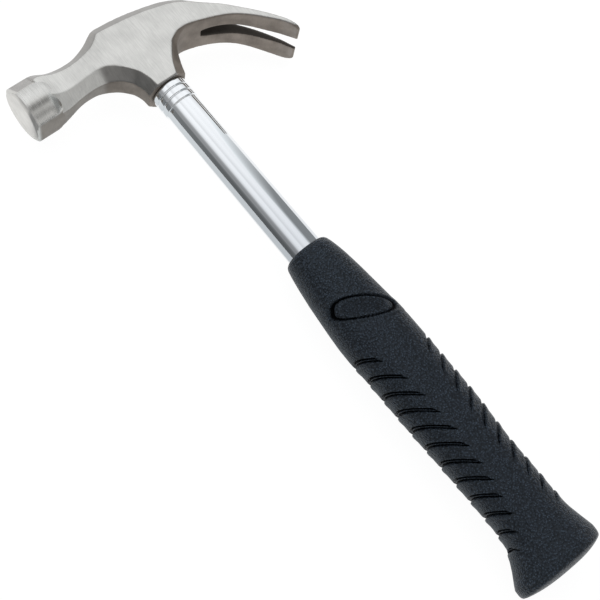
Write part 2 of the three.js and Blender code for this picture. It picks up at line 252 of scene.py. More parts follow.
headSettings = {
    "rowSteps": 4,
    "voxel": 0.42,
    "softening": 3,
    # underside edge y, x and half width; cheek's lower edge y and x; crown y, cheek's upper x,
    # crown x, half thickness, half width of the crown
    "bodyRows": [
        (-30.4, 25.5, 11.4, -30.2, 26.3, -30.4, 37.2, 40.5, 11.9, 9.4),
        (-26, 26.8, 11.4, -25.6, 27.9, -26, 39.9, 44.1, 11.9, 8),
        (-22, 27.5, 11, -21.2, 28.3, -22, 41.6, 46.6, 11.7, 6.8),
        (-19.5, 27, 9.6, -18, 28, -19.5, 42.4, 47.7, 11.4, 6.3),
        (-17.2, 25.9, 8, -15.4, 27, -17.2, 43.2, 48.4, 11.1, 6),
        (-15.2, 24.2, 6.8, -13.1, 25.7, -15.2, 43.8, 49, 10.95, 5.9),
        (-14.1, 22.5, 6.2, -11.6, 24, -14.1, 44.2, 49.3, 10.9, 5.8),
        (-13.1, 20.5, 5.8, -9.8, 21.7, -13, 44.5, 49.6, 10.8, 5.7),
        (-12.1, 18, 5.5, -7.6, 18.6, -12, 44.7, 49.8, 10.75, 5.6),
        (-11.1, 15.3, 5.3, -5.9, 15.4, -11, 45, 50.1, 10.7, 5.6),
        (-9.7, 10.9, 5.2, -4.3, 11.3, -9.7, 45.2, 50.3, 10.6, 5.5),
        (-9.7, 10.9, 5.2, -4.3, 11.3, -9.7, 45.2, 50.3, 10.6, 5.5),
        (-7, 10.9, 7.8, -4.3, 11.1, -7, 45.8, 50.9, 10.5, 5.5),
        (-4.3, 10.9, 10.4, -4.3, 11.1, -4.3, 46.2, 51.3, 10.5, 5.5),
        (-4.3, 10.9, 10.4, -4.3, 11.1, -4.3, 46.2, 51.3, 10.5, 5.5),
        (0, 10.9, 10.4, 0, 11.1, 0, 46.7, 51.9, 10.5, 5.5),
        (6, 10.9, 10.4, 6, 11.1, 6, 47.3, 52.4, 10.5, 5.5),
        (6, 10.9, 10.4, 6, 11.1, 6, 47.3, 52.4, 10.5, 5.5),
        (8.3, 10.9, 7.7, 6.02, 11.2, 7, 47.4, 52.45, 10.5, 5.5),
        (10.6, 10.9, 4.9, 6.05, 11.4, 8, 47.5, 52.5, 10.5, 5.5),
        (10.6, 10.9, 4.9, 6.05, 11.4, 8, 47.5, 52.5, 10.5, 5.5),
        (10.75, 13, 4.9, 6.2, 13.4, 9, 47.6, 52.5, 10.5, 5.5),
        (11, 15.4, 4.9, 6.6, 16, 10, 47.7, 52.55, 10.5, 5.5),
        (12.1, 18.7, 5, 8, 20.4, 11.1, 47.75, 52.55, 10.5, 5.5),
        (13.2, 20.6, 5.2, 9.8, 23.4, 12.1, 47.8, 52.5, 10.5, 5.5),
        (16, 23.7, 5.2, 13.2, 27.6, 13.2, 47.7, 52.3, 10.5, 5.5),
        (16, 23.7, 5.2, 13.2, 27.6, 13.2, 47.7, 52.3, 10.5, 5.5),
        (18.5, 25.5, 5.1, 16.4, 30.7, 16, 45.3, 50.9, 10.4, 5),
        (21.5, 27, 4.8, 20.2, 32.6, 19.2, 43.6, 49.1, 10.1, 4.6),
        (25.5, 28.1, 3.9, 24.8, 33, 23.5, 42.6, 47.4, 9.6, 4.3),
        (29, 28.4, 3.4, 28.7, 32.9, 28, 42, 46.2, 9.2, 4.1),
        (33, 28.25, 3.1, 33, 32.6, 33, 41.7, 45.9, 9, 4.1),
        (37, 27.7, 3.2, 37, 32.2, 37, 42, 46.2, 9.3, 4.2),
        (40, 27, 3.6, 40, 32.1, 40, 42.5, 46.7, 9.8, 4.3),
        (43, 26.4, 4.2, 43, 32.3, 43, 43.2, 47.6, 10.7, 4.5),
        (45.5, 26, 5, 45.5, 32.7, 45.5, 43.9, 48.9, 11.7, 4.8),
        (48, 25.9, 5.8, 48, 33.7, 48, 44, 49.8, 12.6, 5),
        (50, 25.9, 6.2, 50, 34.6, 50, 43.6, 50, 12.9, 5.1),
    ],
    # underside y and x, crown y and x, outer half width, inner half width, crown chamfer
    "clawRows": [
        (-30.4, 25.5, -30.4, 40.5, 11.9, 1.9, 2.9),
        (-34, 24.2, -34.8, 35.2, 12.05, 2.9, 1.6),
        (-38, 22.5, -39.2, 30.9, 12.35, 3.3, 1),
        (-42, 20.35, -43.8, 26.4, 12.8, 3.5, 0.7),
        (-46, 17.5, -48.2, 21.3, 13.2, 3.45, 0.6),
        (-50, 13.6, -52.4, 16.2, 13.85, 3.3, 0.6),
        (-54, 8.8, -56.4, 10.6, 14.65, 3.25, 0.5),
        (-58, 3.7, -60.2, 4.6, 15.45, 3.4, 0.5),
        (-60.2, 0.4, -62.1, 1.2, 15.5, 3.6, 0.4),
        (-61.8, -2.1, -63.4, -1.4, 14.9, 3.8, 0.35),
        (-62.8, -3.8, -64.2, -3.1, 13.7, 3.95, 0.3),
        (-63.2, -4.5, -64.5, -3.9, 12.4, 4.05, 0.3),
    ],
    "slotSoftening": 0.5,
    "slotCrownShare": 0.45,
    "eyeRadius": 7.3,
    "eyeTopX": 45.6,
    "crownHoleRadius": 5.1,
    "boreLowX": 5,
    "boreSegments": 96,
    "slotCrownShareTips": 0.95,
    "slotSpreadY": (36, 63),
}


def bodyRing(row):
    yLow, low, flatLow, yCheek, cheekLow, yHigh, cheekHigh, high, half, flatHigh = row
    return [
        (low, yLow, -flatLow), (cheekLow, yCheek, -half), (cheekHigh, yHigh, -half),
        (high, yHigh, -flatHigh), (high, yHigh, flatHigh), (cheekHigh, yHigh, half),
        (cheekLow, yCheek, half), (low, yLow, flatLow),
    ]


def clawRing(row, side):
    yLow, xLow, yHigh, xHigh, outer, inner, cut = row
    low, high = Vector((xLow, yLow, 0)), Vector((xHigh, yHigh, 0))
    rise = (high - low).normalized()
    depth = (high - low).length
    soft = min(headSettings["slotSoftening"], depth * 0.3)
    cut = min(cut, depth * 0.5)
    # the slot is a wedge: tightest at the crown near its root
    root, tips = headSettings["slotCrownShare"], headSettings["slotCrownShareTips"]
    upper = inner * (root + (tips - root) * smoothStep(*headSettings["slotSpreadY"], -yLow))
    points = [
        low + Vector((0, 0, inner + soft)),
        low + Vector((0, 0, outer - soft)),
        low + rise * soft + Vector((0, 0, outer)),
        high - rise * cut + Vector((0, 0, outer)),
        high + Vector((0, 0, outer - cut)),
        high + Vector((0, 0, upper + soft)),
        high - rise * soft + Vector((0, 0, upper)),
        low + rise * soft + Vector((0, 0, inner)),
    ]
    return [(p.x, p.y, p.z * side) for p in points]


def flatDistance(radius, turn, flats, soft):
    # the smaller of the turned radius and the flats' distances, with the edges softened
    best = radius
    for direction, distance in flats:
        away = turn - radians(direction)
        if cos(away) > 0.3:
            flat = distance / cos(away)
            gap = best - flat
            best = 0.5 * (best + flat - sqrt(gap * gap + soft * soft)) + soft * 0.3
    return min(best, radius)


def paintFinish(piece, chooser):
    # red: ground satin, green: as forged, blue: burnished, alpha: scoured matt by the belt
    mesh = piece.data
    layer = mesh.color_attributes.new("finish", "FLOAT_COLOR", "POINT")
    for vert in mesh.vertices:
        layer.data[vert.index].color = chooser(vert.co, vert.normal)


# where the head's finishes start and stop: places in mm, turns as parts of the face's normal
finishSettings = {
    "neckY": (20.5, 24),        # the belt has taken the forged corner off from here on
    "neckUnderX": 40,
    "neckUnderZ": 9,
    "neckUnderOut": (0.3, 0.5),
    "neckSkinLost": 0.4,
    "clawY": -9,
    "clawTurn": (0.35, 0.6),
    "flankX": 29,
    "flankEndY": -31,
    "flankZ": 10,
    "flankTurn": (0.12, 0.3),
    "flankEdgeTurn": (0.45, 0.7),
    "cheekOut": (0.8, 0.93),
    "cheekZ": (6, 8),
    "slotY": (-66, -29),
    "slotZ": 6,
    "slotOut": 0.5,
    "upTurn": 0.3,              # faces that look more up than this belong to the crown
    "crownBurnish": 0.45,
    "bossX": 36,
    "bossY": 2,
    "bossTurn": 0.1,
    "scour": 0.45,
    "scourTurn": (0.12, 0.4),
    "scourEndY": (43, 48),
}


def headFinish(co, normal):
    f = finishSettings
    x, y, z = co
    out = abs(normal.z)
    neck = smoothStep(*f["neckY"], y)
    forged = 0
    if y < f["clawY"]:
        forged = smoothStep(*f["clawTurn"], -normal.x)
    elif normal.x < f["upTurn"] and x < f["neckUnderX"] and abs(z) < f["neckUnderZ"]:
        forged = 1 - smoothStep(*f["neckUnderOut"], out)
    forged *= 1 - f["neckSkinLost"] * neck
    if x < f["flankX"] and f["flankEndY"] < y < 0:     # the boss's flank under the claw
        turn = f["flankTurn"] if abs(z) < f["flankZ"] else f["flankEdgeTurn"]
        forged = max(forged, smoothStep(*turn, -normal.y))
    ground = smoothStep(*f["cheekOut"], out) * smoothStep(*f["cheekZ"], abs(z))
    scoured = f["scour"]
    if neck > 0 and normal.x < f["upTurn"]:
        ground = max(ground, neck)
        scoured += ((1 - scoured) * neck * smoothStep(*f["scourTurn"], -normal.x)
                    * (1 - smoothStep(*f["scourEndY"], y)))
    burnished = 0
    # slot walls: forging skin, which the material paints much darker as shade in the slot
    if f["slotY"][0] < y < f["slotY"][1] and abs(z) < f["slotZ"] and out > f["slotOut"]:
        forged = burnished = 1     # slot walls
    elif y > f["bossY"] and x < f["bossX"] and normal.x < f["bossTurn"]:
        burnished = (1 - neck) * (1 - ground) * (1 - forged)
    elif normal.x > f["upTurn"]:
        burnished = f["crownBurnish"] * (1 - ground)
    return ground * (1 - forged), forged, burnished, scoured


def makeHead(material):
    s = headSettings
    rows = smoothRows(s["bodyRows"], s["rowSteps"])
    body = extrudeRings("headForging", [bodyRing(row) for row in rows])
    rows = smoothRows(s["clawRows"], s["rowSteps"])
    claws = [extrudeRings("claw", [clawRing(row, side) for row in rows]) for side in (1, -1)]
    head = joinPieces([body, *claws])
    applyModifier(head, "REMESH", mode="VOXEL", voxel_size=s["voxel"], adaptivity=0)
    crown = max(v.co.x for v in head.data.vertices)
    bore = spinProfile("eyeBore", [
        (s["boreLowX"], 0), (s["boreLowX"], s["eyeRadius"]), (s["eyeTopX"], s["eyeRadius"]),
        (s["eyeTopX"], s["crownHoleRadius"]), (crown + 2, s["crownHoleRadius"]), (crown + 2, 0)],
        s["boreSegments"])
    applyModifier(head, "BOOLEAN", object=bore, operation="DIFFERENCE", solver="EXACT")
    bpy.data.objects.remove(bore)
    applyModifier(head, "REMESH", mode="VOXEL", voxel_size=s["voxel"], adaptivity=0)
    applyModifier(head, "SMOOTH", factor=0.5, iterations=s["softening"])
    makeActive(head)
    bpy.ops.object.shade_smooth()
    paintFinish(head, headFinish)
    placePiece(head, material, ["head"])
    return head


bellSettings = {
    "axisX": 37.5,
    "segments": 144,
    "smoothAngle": 24,
    # y, radius as turned
    "profile": [
        (41, 0), (41, 8.6), (43.2, 10), (44.8, 11.2), (46, 12.1), (47, 12.7), (48.2, 13.2),
        (49.6, 13.47), (51.5, 13.5), (55, 13.5), (58.4, 13.5), (59.75, 13.5), (59.95, 13.44),
        (60.15, 13.25), (60.9, 12.1), (61.05, 11.8), (61.12, 11.45), (61.17, 10.8), (61.22, 9),
        (61.27, 5.5), (61.3, 0),
    ],
    # direction of each flat round the bell, from the crown, and its distance from the axis
    "flats": [(0, 12.9), (45, 12.3), (180, 11.7), (315, 12.3)],
    "flatEdge": 0.1,
    "flatInnerRadius": 9,
    "flatEndY": 60.2,
    "sideEndY": (59.3, 59.9),
    "faceY": (59.6, 60),
    # finishes by the angle round the bell from the crown, in degrees
    "topAngles": (19, 22, 66, 69),
    "underAngles": (149, 151),
    "underSkin": 0.8,
    "sideBurnish": 0.7,
    "faceScour": 0.4,
}


def bellFinish(co, normal):
    s = bellSettings
    x, y, z = co
    down = degrees(atan2(abs(z), x - s["axisX"]))
    side = 1 - smoothStep(*s["sideEndY"], y)
    under = smoothStep(*s["underAngles"], down) * side
    forged = s["underSkin"] * under
    topStart, topFull, topFade, topEnd = s["topAngles"]
    top = (1 - smoothStep(topFade, topEnd, down)) * smoothStep(topStart, topFull, down) * side
    burnished = max(top, s["sideBurnish"] * side) * (1 - under)
    return 1 - forged - top, forged, burnished, s["faceScour"] * smoothStep(*s["faceY"], y)


def makeBell(material):
    s = bellSettings
    axisPoint = Vector((s["axisX"], 0, 0))
    bell = spinProfile("strikingBell", s["profile"], s["segments"], centre=axisPoint, axis=(0, 1, 0))
    for vert in bell.data.vertices:
        x, y, z = vert.co - axisPoint
        radius = hypot(x, z)
        if radius > s["flatInnerRadius"] and y < s["flatEndY"]:
            turn = atan2(z, x)
            full = flatDistance(radius, turn % (2 * pi), s["flats"], s["flatEdge"])
            vert.co = axisPoint + Vector((cos(turn) * full, y, sin(turn) * full))
    shadeByAngle(bell, s["smoothAngle"])
    paintFinish(bell, bellFinish)
    placePiece(bell, material, ["head"])
    return bell


tubeSettings = {
    "segments": 160,
    "gripEnd": -246,
    "radiusAtGrip": 8.6,
    "radiusAtCollar": 8.3,
    "bore": 7.1,
    "collarRadius": 8.8,
    "ringStarts": (0, 3.55, 7.1),
    "ringWidth": 3.55,
    "ringGroove": 0.5,
    "eyeRadius": 7,
    "eyeBore": 5.8,
    "topX": 45.3,
    "gripTopX": -88,
    "taperLength": 87.4,
    "taperSteps": 12,
    "collarTopX": 10.66,
    "smoothAngle": 40,
    # one rolled ring: share of its width, share of the groove's depth
    "ringShape": [(0.01, 1), (0.04, 0.7), (0.07, 0.35), (0.11, 0.13), (0.2, 0.04), (0.35, 0),
                  (0.65, 0), (0.8, 0.04), (0.89, 0.13), (0.93, 0.35), (0.96, 0.7)],
}


def makeTube(material):
    s = tubeSettings
    wide, narrow, steps = s["radiusAtGrip"], s["radiusAtCollar"], s["taperSteps"]
    outer = [(s["gripEnd"], wide), (s["gripTopX"], wide)]
    for i in range(1, steps + 1):
        x = s["gripTopX"] + s["taperLength"] * i / steps
        outer.append((x, wide + (narrow - wide) * i / steps))
    outer.append((-0.15, narrow - 0.08))
    # the collar is three rounded bands between fine grooves
    for start in s["ringStarts"]:
        outer += [(start + s["ringWidth"] * share, s["collarRadius"] - cut * s["ringGroove"])
                  for share, cut in s["ringShape"]]
    top = s["collarTopX"]
    outer += [(top, s["collarRadius"] - s["ringGroove"]), (top + 0.02, s["eyeRadius"]),
              (s["topX"] - 0.4, s["eyeRadius"]), (s["topX"], s["eyeRadius"] - 0.4)]
    inner = [(s["topX"], s["eyeBore"] + 0.3), (s["topX"] - 0.3, s["eyeBore"]), (7, s["eyeBore"]),
             (-1, s["bore"]), (s["gripEnd"], s["bore"])]
    tube = spinProfile("chromedTube", outer + inner, s["segments"], closed=True)
    shadeByAngle(tube, s["smoothAngle"])
    placePiece(tube, material, ["shaft_tube"])
    return tube


# x, radius of the dark bead between collar and boss
sealSettings = {
    "profile": [(10.7, 7.25), (10.7, 8.0), (10.74, 8.15), (10.8, 8.2), (10.86, 8.15), (10.9, 8.0),
                (10.9, 7.25)],
    "segments": 128,
    "smoothAngle": 50,
}


def makeSeal(material):
    s = sealSettings
    seal = spinProfile("jointBead", s["profile"], s["segments"], closed=True)
    shadeByAngle(seal, s["smoothAngle"])
    placePiece(seal, material, ["joint_seal"])
    return seal


plugSettings = {"radius": 5.5, "low": 37.6, "shoulder": 44.4, "stem": 4.95, "top": 51.7,
                "dimple": 1.5, "segments": 96, "smoothAngle": 35}


def makeEyePlug(material):
    s = plugSettings
    profile = [(s["low"], 0), (s["low"], s["radius"] - 1), (s["low"] + 2, s["radius"]),
               (s["shoulder"], s["radius"]), (s["shoulder"], s["stem"]),
               (s["top"] - 0.7, s["stem"]), (s["top"] - 0.2, s["stem"] - 0.2),
               (s["top"], s["stem"] - 0.6), (s["top"] - 0.05, 3.2), (s["top"] - 0.3, 3),
               (s["top"] - 0.3, s["dimple"]), (s["top"] - 1.1, 0)]
    plug = spinProfile("eyePlug", profile, s["segments"])
    shadeByAngle(plug, s["smoothAngle"])
    placePiece(plug, material, ["eye_plug"])
    return plug


gripSettings = {
    "around": 232,
    "capRings": 9,
    "smoothAngle": 38,
    "topX": -88.3,
    "topSink": 0.6,
    "rimX": -261.1,
    "buttX": -263.35,
    "ovalPower": 2.25,
    # x, towards the face, towards the claws, up and down
    "stations": [
        (-88.3, 9.3, 9.3, 9.3), (-88.45, 9.9, 9.9, 9.9), (-88.9, 10.5, 10.5, 10.5),
        (-89.8, 11, 11.1, 11), (-92, 11.5, 11.8, 11.6), (-96, 12.25, 12.7, 12.05),
        (-100, 12.9, 13.4, 12.45), (-108.5, 14.1, 14.4, 13.05), (-116.3, 14.9, 15.1, 13.4),
        (-124, 15.7, 15.8, 13.55), (-131.5, 16.3, 16.5, 13.6), (-138.3, 16.4, 16.95, 13.6),
        (-149, 16, 17, 13.6), (-158.7, 15.9, 16.9, 13.55), (-168, 15.9, 16.9, 13.5),
        (-178, 15.8, 16.9, 13.45), (-186.6, 15.6, 16.7, 13.4), (-195, 15.35, 16.1, 13.3),
        (-208, 15.1, 15.3, 13.2), (-222.7, 15, 15.4, 13.2), (-232, 15, 15.3, 13.25),
        (-241.5, 16.1, 15.4, 13.5), (-244.5, 17.8, 15.8, 13.75), (-249.7, 20.8, 16.9, 14.3),
        (-254.2, 23.8, 17.9, 14.9), (-255.8, 24.8, 18.2, 15.15), (-256.3, 25, 18.25, 15.2),
        (-258.6, 25.1, 18.1, 15.2), (-259.9, 24.9, 17.8, 15), (-260.7, 24.2, 17.2, 14.5),
        (-261.1, 23.2, 16.3, 13.8),
    ],
    # the ribs run as chevrons: the rings are slid towards the butt, most in the middle
    "ribFirst": -140.2,
    "ribCount": 12,
    "sideY": 16.3,
    "spineSoft": 6,
    "slantStart": (122, 141),
    "slantLimit": [(-88, 30), (-200, 30), (-205, 17), (-213.9, 12.5), (-222.6, 9.6), (-232.1, 6.6),
                   (-241.3, 3.2), (-250, 1), (-258, 0.01), (-262, 0.001)],
    "ribPitch": 9.13,
    "chevron": 0.98,
    "depth": 1.9,
    # distance of each groove's inner end from the middle line, face side then claw side
    "faceEnds": (9.6, 6.2, 5.1, 4.7, 4.1, 4.7, 5.1, 5.9, 7.3, 8.6, 11.3, 14.6),
    "clawEnds": (None, 9.6, 8.2, 7.2, 6.6, 6.3, 6.3, 6.7, 7.4, 8.2, 9.9, None),
    # a groove's section: distance towards the butt from its upper edge, share of the depth
    "section": [(0, 0), (0.12, 0.3), (0.3, 1), (0.85, 1.0), (1.15, 0.4), (1.5, 0.36), (1.7, 0.95),
                (2.15, 0.95), (2.35, 0.05), (2.6, -0.14), (3.2, -0.16), (4.4, -0.08), (5.5, 0),
                (6.6, 0), (7.8, 0), (8.7, 0)],
    "panelX": -125.4,
    "panelY": -0.1,
    "panelTurn": 61,
    "panelHalfLong": 13.9,
    "panelHalfWide": 5,
    "panelGroove": 1.0,
    "panelReachX": (-145, -105),
    # squareness of the panel's upper and lower halves, and how much narrower the lower one gets
    "panelPowers": (2.9, 2.4),
    "panelTaper": 0.16,
    # rings of the mesh: at the rolled-in top edge, a coarse run (count, pitch), a fine run down
    # to the ribs, and after the ribs a run to the rim
    "topRings": (-88.3, -88.36, -88.45, -88.6, -88.9, -89.3, -89.8),
    "upperRings": (24, 0.75),
    "lowerRings": 88,
    "tailRings": (63, 0.45),
}


def gripWidths(x):
    table = gripSettings["stations"]
    return [readTable(table, x, column) for column in (1, 2, 3)]


def gripPoint(x, turn, inset):
    # a slightly squared oval; turn 0 is up, growing towards the face
    face, claw, up = gripWidths(x)
    side, top = sin(turn), cos(turn)
    power = gripSettings["ovalPower"]
    reach = (abs(side) ** power + abs(top) ** power) ** (-1 / power)
    half = face if side > 0 else claw
    y, z = side * reach * half, top * reach * up
    length = hypot(y, z)
    scale = (length - inset) / length
    return y * scale, z * scale


def grooveDepth(rowPlace, x, y):
    # rowPlace is counted from the first groove's upper edge; one rib pitch on is the next one's
    s = gripSettings
    ends = s["faceEnds"] if y > 0 else s["clawEnds"]
    index = int(rowPlace // s["ribPitch"])
    if index < 0 or index >= len(ends) or ends[index] is None:
        return 0
    beyond = abs(y) - ends[index]
    if beyond < -0.2:
        return 0
    along = rowPlace - index * s["ribPitch"]
    share = readTable(s["section"], along, 1)
    if share < 0:
        return share * s["depth"] * smoothStep(-0.2, 1.5, beyond)
    # the inner end runs to a point at the lower edge
    lead = 1.7 * (1 - min(1, along / 2.2))
    return share * s["depth"] * smoothStep(lead - 0.3, lead + 0.9, beyond)


def panelDepth(x, y):
    s = gripSettings
    turn = radians(s["panelTurn"])
    dx, dy = x - s["panelX"], y - s["panelY"]
    along = dx * cos(turn) + dy * sin(turn)
    across = -dx * sin(turn) + dy * cos(turn)
    long = s["panelHalfLong"]
    # fuller at its upper end
    wide = s["panelHalfWide"] * (1 if along > 0 else 1 + s["panelTaper"] * along / long)
    power = s["panelPowers"][0 if along > 0 else 1]
    out = (abs(along / long) ** power + abs(across / wide) ** power) ** (1 / power)
    distance = (out - 1) * wide
    groove = s["panelGroove"] * (1 - smoothStep(0.12, 0.5, abs(distance)))
    lip = -0.2 * (1 - smoothStep(0.3, 0.9, abs(distance - 0.95)))
    floor = 0.25 * (1 - smoothStep(-0.8, -0.2, distance))
    rim = -0.14 * (1 - smoothStep(0.1, 0.5, abs(distance + 1.1)))
    return groove + lip + floor + rim


def gripRows():
    # places along the handle for every ring of the grip, top to butt, with the rib place of each
    s = gripSettings
    rows = [(x, None) for x in s["topRings"]]
    count, pitch = s["upperRings"]
    rows += [(s["topRings"][-1] - pitch * i, None) for i in range(1, count + 1)]
    start, count = rows[-1][0], s["lowerRings"]
    rows += [(start + (s["ribFirst"] + 0.4 - start) * i / count, None) for i in range(1, count + 1)]
    for index in range(s["ribCount"]):
        for along, _ in s["section"]:
            place = index * s["ribPitch"] + along
            rows.append((s["ribFirst"] - place, place))
    lastRib = rows[-1][0]
    count, pitch = s["tailRings"]
    tail = [lastRib - pitch * i for i in range(1, count + 1)]
    return rows + [(x, None) for x in tail if x > s["rimX"]]


def chevronX(rowX, y):
    # where a ring's point lies once the ring is bent to the ribs' slant
    s = gripSettings
    face, claw, _ = gripWidths(rowX)
    half = face if y > 0 else claw
    soft = s["spineSoft"]
    bent = sqrt(y * y + soft) - sqrt(half * half + soft) + half
    slant = s["chevron"] * max(0, s["sideY"] - bent) * smoothStep(*s["slantStart"], -rowX)
    limit = readTable(s["slantLimit"], rowX, 1)
    return rowX - slant * limit / (slant ** 4 + limit ** 4 + 1e-9) ** 0.25


def makeGrip(material):
    s = gripSettings
    rows = gripRows()
    cap = s["capRings"]
    rings = len(rows) + 2 * cap
    grooveShadeAndPanelTone = {}
    startFresh()
    bpy.ops.mesh.primitive_uv_sphere_add(segments=s["around"], ring_count=rings + 1, radius=1)
    grip = bpy.context.object
    grip.name = grip.data.name = "rubberGrip"
    mesh = grip.data
    for vert in mesh.vertices:
        polar = degrees(atan2(hypot(vert.co.x, vert.co.y), vert.co.z)) / 180 * (rings + 1)
        ring = round(polar) - 1
        turn = atan2(vert.co.y, vert.co.x)
        if ring < 0:
            vert.co = (s["topX"] - s["topSink"], 0, 0)
            continue
        if ring >= rings:
            vert.co = (s["buttX"], 0, 0)
            continue
        if ring < cap:
            # the top end closes in round the tube
            share = (ring + 1) / (cap + 1)
            y, z = gripPoint(s["topX"], turn, 0)
            sink = s["topSink"] * (1 - smoothStep(0.8, 1, share))
            vert.co = (s["topX"] - sink, y * share, z * share)
            continue
        if ring >= rings - cap:
            # the crowned butt inside its rim
            share = 1 - (ring - (rings - cap) + 1) / (cap + 1)
            y, z = gripPoint(s["rimX"], turn, 0)
            crown = s["rimX"] + (s["buttX"] - s["rimX"]) * (1 - share ** 3)
            vert.co = (crown, y * share, z * share)
            continue
        rowX, place = rows[ring - cap]
        y, z = gripPoint(rowX, turn, 0)
        x = chevronX(rowX, y)
        depth = shadeAndTone = 0
        if place is not None:
            depth = grooveDepth(place, x, y)
            # painted shade: the deeper part of each groove is painted black
            shadeAndTone = smoothStep(0.5, 0.85, depth / s["depth"])
        if z > 0 and s["panelReachX"][0] < x < s["panelReachX"][1]:
            inset = panelDepth(x, y)
            depth += inset
            # painted shade: the panel's outline groove is painted dark by its depth; inside its outline
            # the panel is painted a little darker and less glossy
            inside = 0.3 if inset > 0.2 else 0
            shadeAndTone = max(shadeAndTone, smoothStep(0.3, 0.8, inset / s["panelGroove"]), inside)
        x = max(x, s["rimX"])
        y, z = gripPoint(x, turn, depth)
        vert.co = (x, y, z)
        grooveShadeAndPanelTone[vert.index] = shadeAndTone
    makeActive(grip)
    bpy.ops.object.mode_set(mode="EDIT")
    bpy.ops.mesh.select_all(action="SELECT")
    bpy.ops.mesh.normals_make_consistent(inside=False)
    bpy.ops.object.mode_set(mode="OBJECT")
    # painted shade: how deep in a groove each point lies, so that the groove bottoms are painted dull
    # black
    layer = mesh.color_attributes.new("grooveShadeAndPanelTone", "FLOAT_COLOR", "POINT")
    for vert in mesh.vertices:
        layer.data[vert.index].color = grey(grooveShadeAndPanelTone.get(vert.index, 0))
    shadeByAngle(grip, s["smoothAngle"])
    placePiece(grip, material, ["grip"])
    return grip


